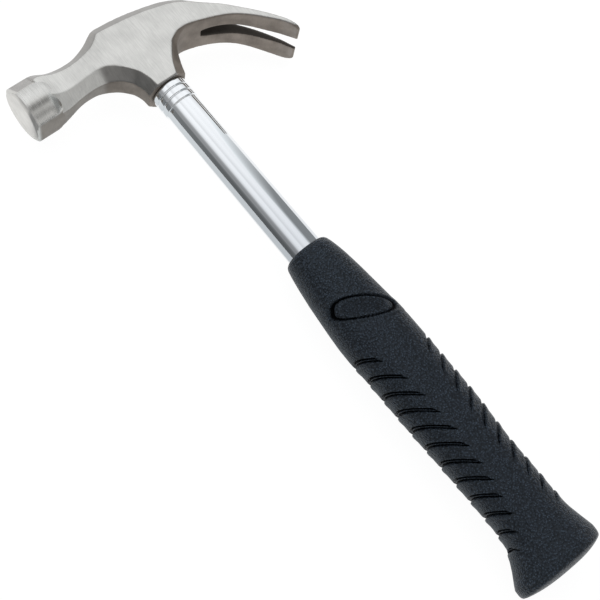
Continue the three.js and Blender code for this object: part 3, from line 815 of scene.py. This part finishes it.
def makeHeadSteel():
    # drop-forged medium carbon steel, cheeks ground on a belt: satin light faces with a fine
    # cross grain, brown-grey forging skin left in the hollows and painted darker still in the claw slot
    # as shade, burnished darker chamfers
    # the slot colour is painted shade over the forging skin
    colours = {"ground": "#e4e3df", "burnished": "#a5a3a0", "slot": "#4a4540",
               "skinDark": "#80776e", "skinLight": "#958c83"}
    grainMm = {"alongHandle": 6, "alongHead": 0.45, "across": 3, "skin": 0.7, "cloud": 9}
    grainDeep = 0.00004
    material, tree, out = newMaterial("forgedSteelBeltGround")
    place = addNode(tree, "ShaderNodeTexCoord")
    finish = addNode(tree, "ShaderNodeAttribute", {"attribute_name": "finish"})
    parts = addNode(tree, "ShaderNodeSeparateColor", links={"Color": (finish, "Color")})
    stretch = addNode(tree, "ShaderNodeMapping", {
        "Scale": [1000 / grainMm[k] for k in ("alongHandle", "alongHead", "across")]},
        {"Vector": (place, "Object")})
    grain = addNode(tree, "ShaderNodeTexNoise", {"Scale": 1.0, "Detail": 4, "Roughness": 0.65},
                    {"Vector": (stretch, "Vector")})
    skin = addNode(tree, "ShaderNodeTexNoise", {
        "Scale": 1000 / grainMm["skin"], "Detail": 4, "Roughness": 0.65}, {"Vector": (place, "Object")})
    cloud = addNode(tree, "ShaderNodeTexNoise", {"Scale": 1000 / grainMm["cloud"], "Detail": 4},
                    {"Vector": (place, "Object")})
    # colours
    clean = addNode(tree, "ShaderNodeMix", {
        "data_type": "RGBA", 6: hexColour(colours["burnished"]), 7: hexColour(colours["ground"])},
        {0: (parts, "Red")})
    skinTone = addNode(tree, "ShaderNodeValToRGB", links={"Fac": (cloud, "Fac")})
    setStops(skinTone, [(0.35, hexColour(colours["skinDark"])), (0.65, hexColour(colours["skinLight"]))])
    withSkin = addNode(tree, "ShaderNodeMix", {"data_type": "RGBA"}, {
        0: (parts, "Green"), 6: (clean, 2), 7: (skinTone, "Color")})
    # painted shade: the slot walls' forging skin is painted much darker, as shade in the narrow slot
    slotShadeMask = addNode(tree, "ShaderNodeMath", {"operation": "MULTIPLY"}, {
        0: (parts, "Green"), 1: (parts, "Blue")})
    withSlotShade = addNode(tree, "ShaderNodeMix", {"data_type": "RGBA", 7: hexColour(colours["slot"])}, {
        0: (slotShadeMask, "Value"), 6: (withSkin, 2)})
    lines = addNode(tree, "ShaderNodeValToRGB", links={"Fac": (grain, "Fac")})
    setStops(lines, [(0.3, grey(0.82)), (0.68, grey(1))])
    streaked = addNode(tree, "ShaderNodeMix", {"data_type": "RGBA", "blend_type": "MULTIPLY", 0: 1.0}, {
        6: (withSlotShade, 2), 7: (lines, "Color")})
    passes = addNode(tree, "ShaderNodeValToRGB", links={"Fac": (cloud, "Fac")})
    setStops(passes, [(0.36, grey(0.9)), (0.6, grey(1))])
    mottled = addNode(tree, "ShaderNodeMix", {"data_type": "RGBA", "blend_type": "MULTIPLY", 0: 1.0}, {
        6: (streaked, 2), 7: (passes, "Color")})
    # roughness: base by finish, then broken up by the grain
    byBurnish = addNode(tree, "ShaderNodeMapRange", {"To Min": 0.24, "To Max": 0.16}, {
        "Value": (parts, "Blue")})
    byScour = addNode(tree, "ShaderNodeMath", {"operation": "MULTIPLY_ADD", 1: 0.2}, {
        0: (finish, "Alpha"), 2: (byBurnish, "Result")})
    bySkin = addNode(tree, "ShaderNodeMath", {"operation": "MULTIPLY_ADD", 1: 0.16}, {
        0: (parts, "Green"), 2: (byScour, "Value")})
    rough = addNode(tree, "ShaderNodeMath", {"operation": "MULTIPLY_ADD", 1: 0.14}, {
        0: (grain, "Fac"), 2: (bySkin, "Value")})
    # the scoured faces scatter light like a pale matt skin over the metal
    metal = addNode(tree, "ShaderNodeMath", {"operation": "MULTIPLY", 1: 0.45}, {
        0: (finish, "Alpha"), 1: (parts, "Red")})
    bare = addNode(tree, "ShaderNodeMath", {"operation": "MULTIPLY_ADD", 1: -0.5, 2: 1.0}, {
        0: (metal, "Value")})
    # forging skin is an oxide, so it scatters too
    metalShare = addNode(tree, "ShaderNodeMath", {"operation": "MULTIPLY_ADD", 1: -0.45}, {
        0: (parts, "Green"), 2: (bare, "Value")})
    height = addNode(tree, "ShaderNodeMix", {"data_type": "FLOAT"}, {
        0: (parts, "Green"), 2: (grain, "Fac"), 3: (skin, "Fac")})
    bump = addNode(tree, "ShaderNodeBump", {"Strength": 0.5, "Distance": grainDeep}, {
        "Height": (height, 0)})
    shader = addNode(tree, "ShaderNodeBsdfPrincipled", links={
        "Base Color": (mottled, 2), "Roughness": (rough, "Value"), "Normal": (bump, "Normal"),
        "Metallic": (metalShare, "Value")})
    tree.links.new(shader.outputs["BSDF"], out.inputs["Surface"])
    return material


def makeChrome():
    # decorative chrome plate over drawn steel tube: mirror with a cool cast and the faint
    # long waves of the drawn tube under it; painted shade makes the plate a little darker towards the
    # grip
    wavesPerMetre = (12, 260, 260)      # 83 mm long, 3.8 mm across
    waveDeep = 0.00006
    darkBelow, brightAbove = 0.02, 0.1      # along the frame's X
    material, tree, out = newMaterial("chromePlatedDrawnTube")
    place = addNode(tree, "ShaderNodeTexCoord")
    stretch = addNode(tree, "ShaderNodeMapping", {
        "Scale": wavesPerMetre}, {"Vector": (place, "Object")})
    waves = addNode(tree, "ShaderNodeTexNoise", {"Scale": 1.0, "Detail": 2}, {
        "Vector": (stretch, "Vector")})
    haze = addNode(tree, "ShaderNodeMapRange", {"To Min": 0.03, "To Max": 0.07}, {
        "Value": (waves, "Fac")})
    bump = addNode(tree, "ShaderNodeBump", {"Strength": 0.12, "Distance": waveDeep}, {
        "Height": (waves, "Fac")})
    axes = addNode(tree, "ShaderNodeSeparateXYZ", links={"Vector": (place, "Object")})
    # painted shade: the plate colour darkens towards the grip
    along = addNode(tree, "ShaderNodeMapRange", {"From Min": darkBelow, "From Max": brightAbove}, {
        "Value": (axes, "X")})
    plateShadedToGrip = addNode(tree, "ShaderNodeMix", {
        "data_type": "RGBA", 6: hexColour("#dcdfe3"), 7: hexColour("#f3f5f7")},
        {0: (along, "Result")})
    shader = addNode(tree, "ShaderNodeBsdfPrincipled", {"Metallic": 1.0}, {
        "Base Color": (plateShadedToGrip, 2), "Roughness": (haze, "Result"), "Normal": (bump, "Normal")})
    tree.links.new(shader.outputs["BSDF"], out.inputs["Surface"])
    return material


def makePlain(name, colour, metallic, roughness, noiseMm, darker, bumpMm):
    # shared layout for the small hidden pieces: a mottled tone and a fine relief
    material, tree, out = newMaterial(name)
    place = addNode(tree, "ShaderNodeTexCoord")
    mottle = addNode(tree, "ShaderNodeTexNoise", {"Scale": 1000 / noiseMm, "Detail": 4},
                     {"Vector": (place, "Object")})
    tone = addNode(tree, "ShaderNodeValToRGB", links={"Fac": (mottle, "Fac")})
    setStops(tone, [(0.35, hexColour(darker)), (0.65, hexColour(colour))])
    rough = addNode(tree, "ShaderNodeMapRange", {
        "To Min": roughness - 0.06, "To Max": roughness + 0.08}, {"Value": (mottle, "Fac")})
    bump = addNode(tree, "ShaderNodeBump", {"Strength": 0.4, "Distance": bumpMm / 1000}, {
        "Height": (mottle, "Fac")})
    shader = addNode(tree, "ShaderNodeBsdfPrincipled", {"Metallic": metallic}, {
        "Base Color": (tone, "Color"), "Roughness": (rough, "Result"), "Normal": (bump, "Normal")})
    tree.links.new(shader.outputs["BSDF"], out.inputs["Surface"])
    return material


def makeRubber():
    # carbon-black rubber moulded in a spark-eroded tool: blue-black, with a pebbled skin about 0.9 mm
    # across; the sheen on it is painted into the colour as pale blue-grey specks on the pebble tops
    pebbleMm, fineMm, cloudMm = 0.9, 0.4, 12
    pebbleDeep = 0.0005
    material, tree, out = newMaterial("blackRubberMoulded")
    place = addNode(tree, "ShaderNodeTexCoord")
    pebble = addNode(tree, "ShaderNodeTexVoronoi", {
        "feature": "SMOOTH_F1", "Scale": 1000 / pebbleMm, "Smoothness": 0.5},
        {"Vector": (place, "Object")})
    fine = addNode(tree, "ShaderNodeTexNoise", {"Scale": 1000 / fineMm, "Detail": 2}, {
        "Vector": (place, "Object")})
    cloud = addNode(tree, "ShaderNodeTexNoise", {"Scale": 1000 / cloudMm, "Detail": 3}, {
        "Vector": (place, "Object")})
    groove = addNode(tree, "ShaderNodeAttribute", {"attribute_name": "grooveShadeAndPanelTone"})
    dome = addNode(tree, "ShaderNodeMath", {"operation": "MULTIPLY_ADD", 1: -1.0, 2: 1.0}, {
        0: (pebble, "Distance")})
    height = addNode(tree, "ShaderNodeMath", {"operation": "MULTIPLY_ADD", 1: 0.4}, {
        0: (fine, "Fac"), 2: (dome, "Value")})
    # painted highlight: the pebble tops are painted pale blue-grey as sheen specks, the hollows keep the
    # rubber's black
    speckSheen = addNode(tree, "ShaderNodeMath", {"operation": "MULTIPLY"}, {
        0: (dome, "Value"), 1: (fine, "Fac")})
    tone = addNode(tree, "ShaderNodeValToRGB", links={"Fac": (speckSheen, "Value")})
    setStops(tone, [(0.16, hexColour("#0b0d10")), (0.34, hexColour("#1d232b")),
                    (0.5, hexColour("#3e4956"))])
    # painted shade: the groove bottoms are painted near black, and the gloss below turns their specular
    # down
    black = addNode(tree, "ShaderNodeMix", {"data_type": "RGBA", 7: hexColour("#030304")}, {
        0: (groove, "Fac"), 6: (tone, "Color")})
    rough = addNode(tree, "ShaderNodeMapRange", {"To Min": 0.34, "To Max": 0.46}, {
        "Value": (cloud, "Fac")})
    gloss = addNode(tree, "ShaderNodeMapRange", {"To Min": 0.42, "To Max": 0.03}, {
        "Value": (groove, "Fac")})
    bump = addNode(tree, "ShaderNodeBump", {"Strength": 1.0, "Distance": pebbleDeep}, {
        "Height": (height, "Value")})
    shader = addNode(tree, "ShaderNodeBsdfPrincipled", {
        "Metallic": 0.0, "IOR": 1.52, "Specular Tint": (0.72, 0.85, 1, 1)}, {
        "Base Color": (black, 2), "Roughness": (rough, "Result"), "Normal": (bump, "Normal"),
        "Specular IOR Level": (gloss, "Result")})
    tree.links.new(shader.outputs["BSDF"], out.inputs["Surface"])
    return material


def makeBeech():
    # turned beech dowel: pale straw with short darker flecks along the grain
    flecksPerMetre = (90, 1100, 1100)       # 11 mm long, 0.9 mm across
    fleckDeep = 0.0001
    material, tree, out = newMaterial("beechTurned")
    place = addNode(tree, "ShaderNodeTexCoord")
    stretch = addNode(tree, "ShaderNodeMapping", {
        "Scale": flecksPerMetre}, {"Vector": (place, "Object")})
    grain = addNode(tree, "ShaderNodeTexNoise", {"Scale": 1.0, "Detail": 4}, {
        "Vector": (stretch, "Vector")})
    tone = addNode(tree, "ShaderNodeValToRGB", links={"Fac": (grain, "Fac")})
    setStops(tone, [(0.35, hexColour("#a67f52")), (0.6, hexColour("#cfae7e"))])
    bump = addNode(tree, "ShaderNodeBump", {"Strength": 0.3, "Distance": fleckDeep}, {
        "Height": (grain, "Fac")})
    shader = addNode(tree, "ShaderNodeBsdfPrincipled", {"Roughness": 0.6}, {
        "Base Color": (tone, "Color"), "Normal": (bump, "Normal")})
    tree.links.new(shader.outputs["BSDF"], out.inputs["Surface"])
    return material


studioSettings = {
    "cameraSpot": (-0.10452, 0.19558, 0.54178),
    "aimSpot": (0.00132, 0.01784, 0.0156),
    "roll": 21.086,
    "lens": 78,
    "sensor": 36,
    "floorSize": 6,
    "floorGlow": 0.95,
    "softboxSize": (0.9, 0.7),
    "softboxSpot": (0.45, -0.35, 0.95),
    "softboxWatts": 2.5,
    "backdropGrey": 0.95,
    # angle from straight up towards the face side, brightness of the room there
    "roomRing": [(-180, 0.9), (-112, 0.9), (-98, 0.75), (-88, 0.75), (-74, 0.85), (-50, 1.05),
                 (-26, 1.0), (-12, 1.05), (-2, 1.0), (12, 0.85), (20, 1.05), (34, 1.0), (44, 0.8),
                 (52, 0.4), (62, 0.3), (70, 0.32), (78, 0.15), (90, 0.13), (98, 0.3), (112, 0.72),
                 (180, 0.9)],
    # the same for the half of the room behind the butt, seen by the head's lower facets
    "backRing": [(-180, 0.8), (-98, 0.7), (-60, 0.95), (0, 1.0), (30, 0.95), (60, 0.8), (82, 0.9),
                 (96, 0.7), (112, 0.6), (180, 0.7)],
    # direction along the handle, how much of that brightness is left
    "roomAlong": [(-1, 0.6), (-0.93, 0.75), (-0.84, 0.3), (-0.7, 0.45), (-0.58, 0.75), (-0.45, 0.35),
                  (-0.3, 0.16), (-0.15, 0.4), (0.02, 1), (0.3, 1), (0.5, 1), (0.7, 0.85), (1, 0.8)],
    # cards only mirrors can see: name, middle, size along the handle, other size, tilt,
    # brightness, brightness it fades to at its top and head end
    "cards": [
        ("duskCard", (-0.005, 0.068, 0.019), 0.285, 0.037, 90, 0.13, 0.2),
        ("lowCard", (-0.005, 0.04, 0.0006), 0.285, 0.05, 0, 0.7, 0.75),
        ("slateCard", (0.01, -0.15, 0.15), 0.28, 0.3, 90, 0.3, 1.0),
    ],
}


def makeCamera():
    s = studioSettings
    data = bpy.data.cameras.new("studioCamera")
    camera = bpy.data.objects.new("studioCamera", data)
    scene.collection.objects.link(camera)
    spot, aim = Vector(s["cameraSpot"]), Vector(s["aimSpot"])
    turn = (aim - spot).to_track_quat("-Z", "Y").to_matrix().to_4x4()
    roll = Matrix.Rotation(radians(s["roll"]), 4, "Z")
    camera.matrix_world = Matrix.Translation(spot) @ turn @ roll
    data.lens = s["lens"]
    data.sensor_width = s["sensor"]
    data.clip_start, data.clip_end = 0.01, 20
    scene.camera = camera


def makeRoom():
    # a pale room: bright panels overhead, darker towards the floor on the face side
    s = studioSettings
    world = bpy.data.worlds.new("paleStudio")
    scene.world = world
    world.use_nodes = True
    tree = world.node_tree
    tree.nodes.clear()
    out = addNode(tree, "ShaderNodeOutputWorld")
    place = addNode(tree, "ShaderNodeTexCoord")
    axes = addNode(tree, "ShaderNodeSeparateXYZ", links={"Vector": (place, "Generated")})
    angle = addNode(tree, "ShaderNodeMath", {"operation": "ARCTAN2"}, {0: (axes, "Y"), 1: (axes, "Z")})
    turn = addNode(tree, "ShaderNodeMapRange", {"From Min": -pi, "From Max": pi}, {
        "Value": (angle, "Value")})
    ring = addNode(tree, "ShaderNodeValToRGB", links={"Fac": (turn, "Result")})
    setStops(ring, [(0.5 + a / 360, (v * 0.985, v, v * 1.02, 1)) for a, v in s["roomRing"]])
    backRing = addNode(tree, "ShaderNodeValToRGB", links={"Fac": (turn, "Result")})
    setStops(backRing, [(0.5 + a / 360, grey(v)) for a, v in s["backRing"]])
    front = addNode(tree, "ShaderNodeMapRange", {"From Min": -0.15, "From Max": 0.15}, {
        "Value": (axes, "X")})
    rings = addNode(tree, "ShaderNodeMix", {"data_type": "RGBA"}, {
        0: (front, "Result"), 6: (backRing, "Color"), 7: (ring, "Color")})
    along = addNode(tree, "ShaderNodeMapRange", {"From Min": -1, "From Max": 1}, {
        "Value": (axes, "X")})
    fall = addNode(tree, "ShaderNodeValToRGB", links={"Fac": (along, "Result")})
    setStops(fall, [(0.5 + a / 2, grey(v)) for a, v in s["roomAlong"]])
    lit = addNode(tree, "ShaderNodeMix", {"data_type": "RGBA", "blend_type": "MULTIPLY", 0: 1.0}, {
        6: (rings, 2), 7: (fall, "Color")})
    room = addNode(tree, "ShaderNodeBackground", {"Strength": 1.0}, {"Color": (lit, 2)})
    plain = addNode(tree, "ShaderNodeBackground", {"Color": grey(s["backdropGrey"]), "Strength": 1.0})
    ray = addNode(tree, "ShaderNodeLightPath")
    both = addNode(tree, "ShaderNodeMixShader", links={
        0: (ray, "Is Camera Ray"), 1: (room, "Background"), 2: (plain, "Background")})
    tree.links.new(both.outputs["Shader"], out.inputs["Surface"])


def makeFloor():
    # white card under the hammer, lit through from below so that it stays even
    s = studioSettings
    startFresh()
    bpy.ops.mesh.primitive_plane_add(size=s["floorSize"], location=(0, 0, -0.0002))
    floor = bpy.context.object
    floor.name = "paleFloor"
    material, tree, out = newMaterial("whiteCardMatt")
    shader = addNode(tree, "ShaderNodeBsdfPrincipled", {
        "Base Color": grey(0.1), "Roughness": 0.9, "Specular IOR Level": 0.0,
        "Emission Color": grey(1), "Emission Strength": s["floorGlow"]})
    tree.links.new(shader.outputs["BSDF"], out.inputs["Surface"])
    floor.data.materials.append(material)


def makeCards():
    # dark and grey cards beside the tube: they draw the streaks in its chrome and nothing else
    for name, middle, long, wide, tilt, brightness, edge in studioSettings["cards"]:
        startFresh()
        bpy.ops.mesh.primitive_plane_add(size=1, location=middle, rotation=(radians(tilt), 0, 0))
        card = bpy.context.object
        card.name = card.data.name = name
        card.scale = (long, wide, 1)
        bpy.ops.object.transform_apply(location=False, rotation=True, scale=True)
        material, tree, out = newMaterial(name + "Paint")
        place = addNode(tree, "ShaderNodeTexCoord")
        axes = addNode(tree, "ShaderNodeSeparateXYZ", links={"Vector": (place, "Generated")})
        ends = addNode(tree, "ShaderNodeMapRange", {"From Min": 0.78, "From Max": 1}, {
            "Value": (axes, "X")})
        tops = addNode(tree, "ShaderNodeMapRange", {"From Min": 0.6, "From Max": 1}, {
            "Value": (axes, "Z")})
        fade = addNode(tree, "ShaderNodeMath", {"operation": "MAXIMUM"}, {
            0: (ends, "Result"), 1: (tops, "Result")})
        level = addNode(tree, "ShaderNodeMapRange", {"To Min": brightness, "To Max": edge}, {
            "Value": (fade, "Value")})
        glow = addNode(tree, "ShaderNodeEmission", {"Color": (0.94, 0.98, 1, 1)}, {
            "Strength": (level, "Result")})
        tree.links.new(glow.outputs["Emission"], out.inputs["Surface"])
        card.data.materials.append(material)
        card.visible_camera = card.visible_diffuse = card.visible_shadow = False


def makeSoftbox():
    s = studioSettings
    data = bpy.data.lights.new("softKey", "AREA")
    data.shape = "RECTANGLE"
    data.size, data.size_y = s["softboxSize"]
    data.energy = s["softboxWatts"]
    light = bpy.data.objects.new("softKey", data)
    scene.collection.objects.link(light)
    light.visible_glossy = False
    light.location = s["softboxSpot"]
    light.rotation_euler = (Vector((0, 0, 0)) - light.location).to_track_quat("-Z", "Y").to_euler()


makeCamera()
makeRoom()
makeFloor()
makeCards()
makeSoftbox()
scene.view_settings.view_transform = "Standard"
print("studio ready")

headSteel = makeHeadSteel()
chrome = makeChrome()
rubber = makeRubber()
# name, colour, metallic, roughness, mottle in mm, darker colour, relief in mm
# the joint bead: a dull black line; turned mild steel: plain grey disc in the crown; moulded
# nylon: dark grey, faintly clouded
jointDark = makePlain("darkJointBead", "#1b1c1e", 0.0, 0.55, 1.5, "#101113", 0.02)
plugSteel = makePlain("mildSteelTurned", "#a3a4a4", 1.0, 0.38, 1.2, "#8c8c8b", 0.02)
nylon = makePlain("greyNylonMoulded", "#55575a", 0.0, 0.5, 2.5, "#48494c", 0.02)
beech = makeBeech()
print("materials ready")

makeHead(headSteel)
print("head ready")
makeBell(headSteel)
makeTube(chrome)
makeSeal(jointDark)
makeEyePlug(plugSteel)
print("tube ready")
makeGrip(rubber)
print("grip ready")

# the hidden core and end plug keep the frame's own meshes
for nodeName, material in (("tube_core", beech), ("tube_end_plug", nylon)):
    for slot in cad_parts[nodeName].material_slots:
        slot.material = material
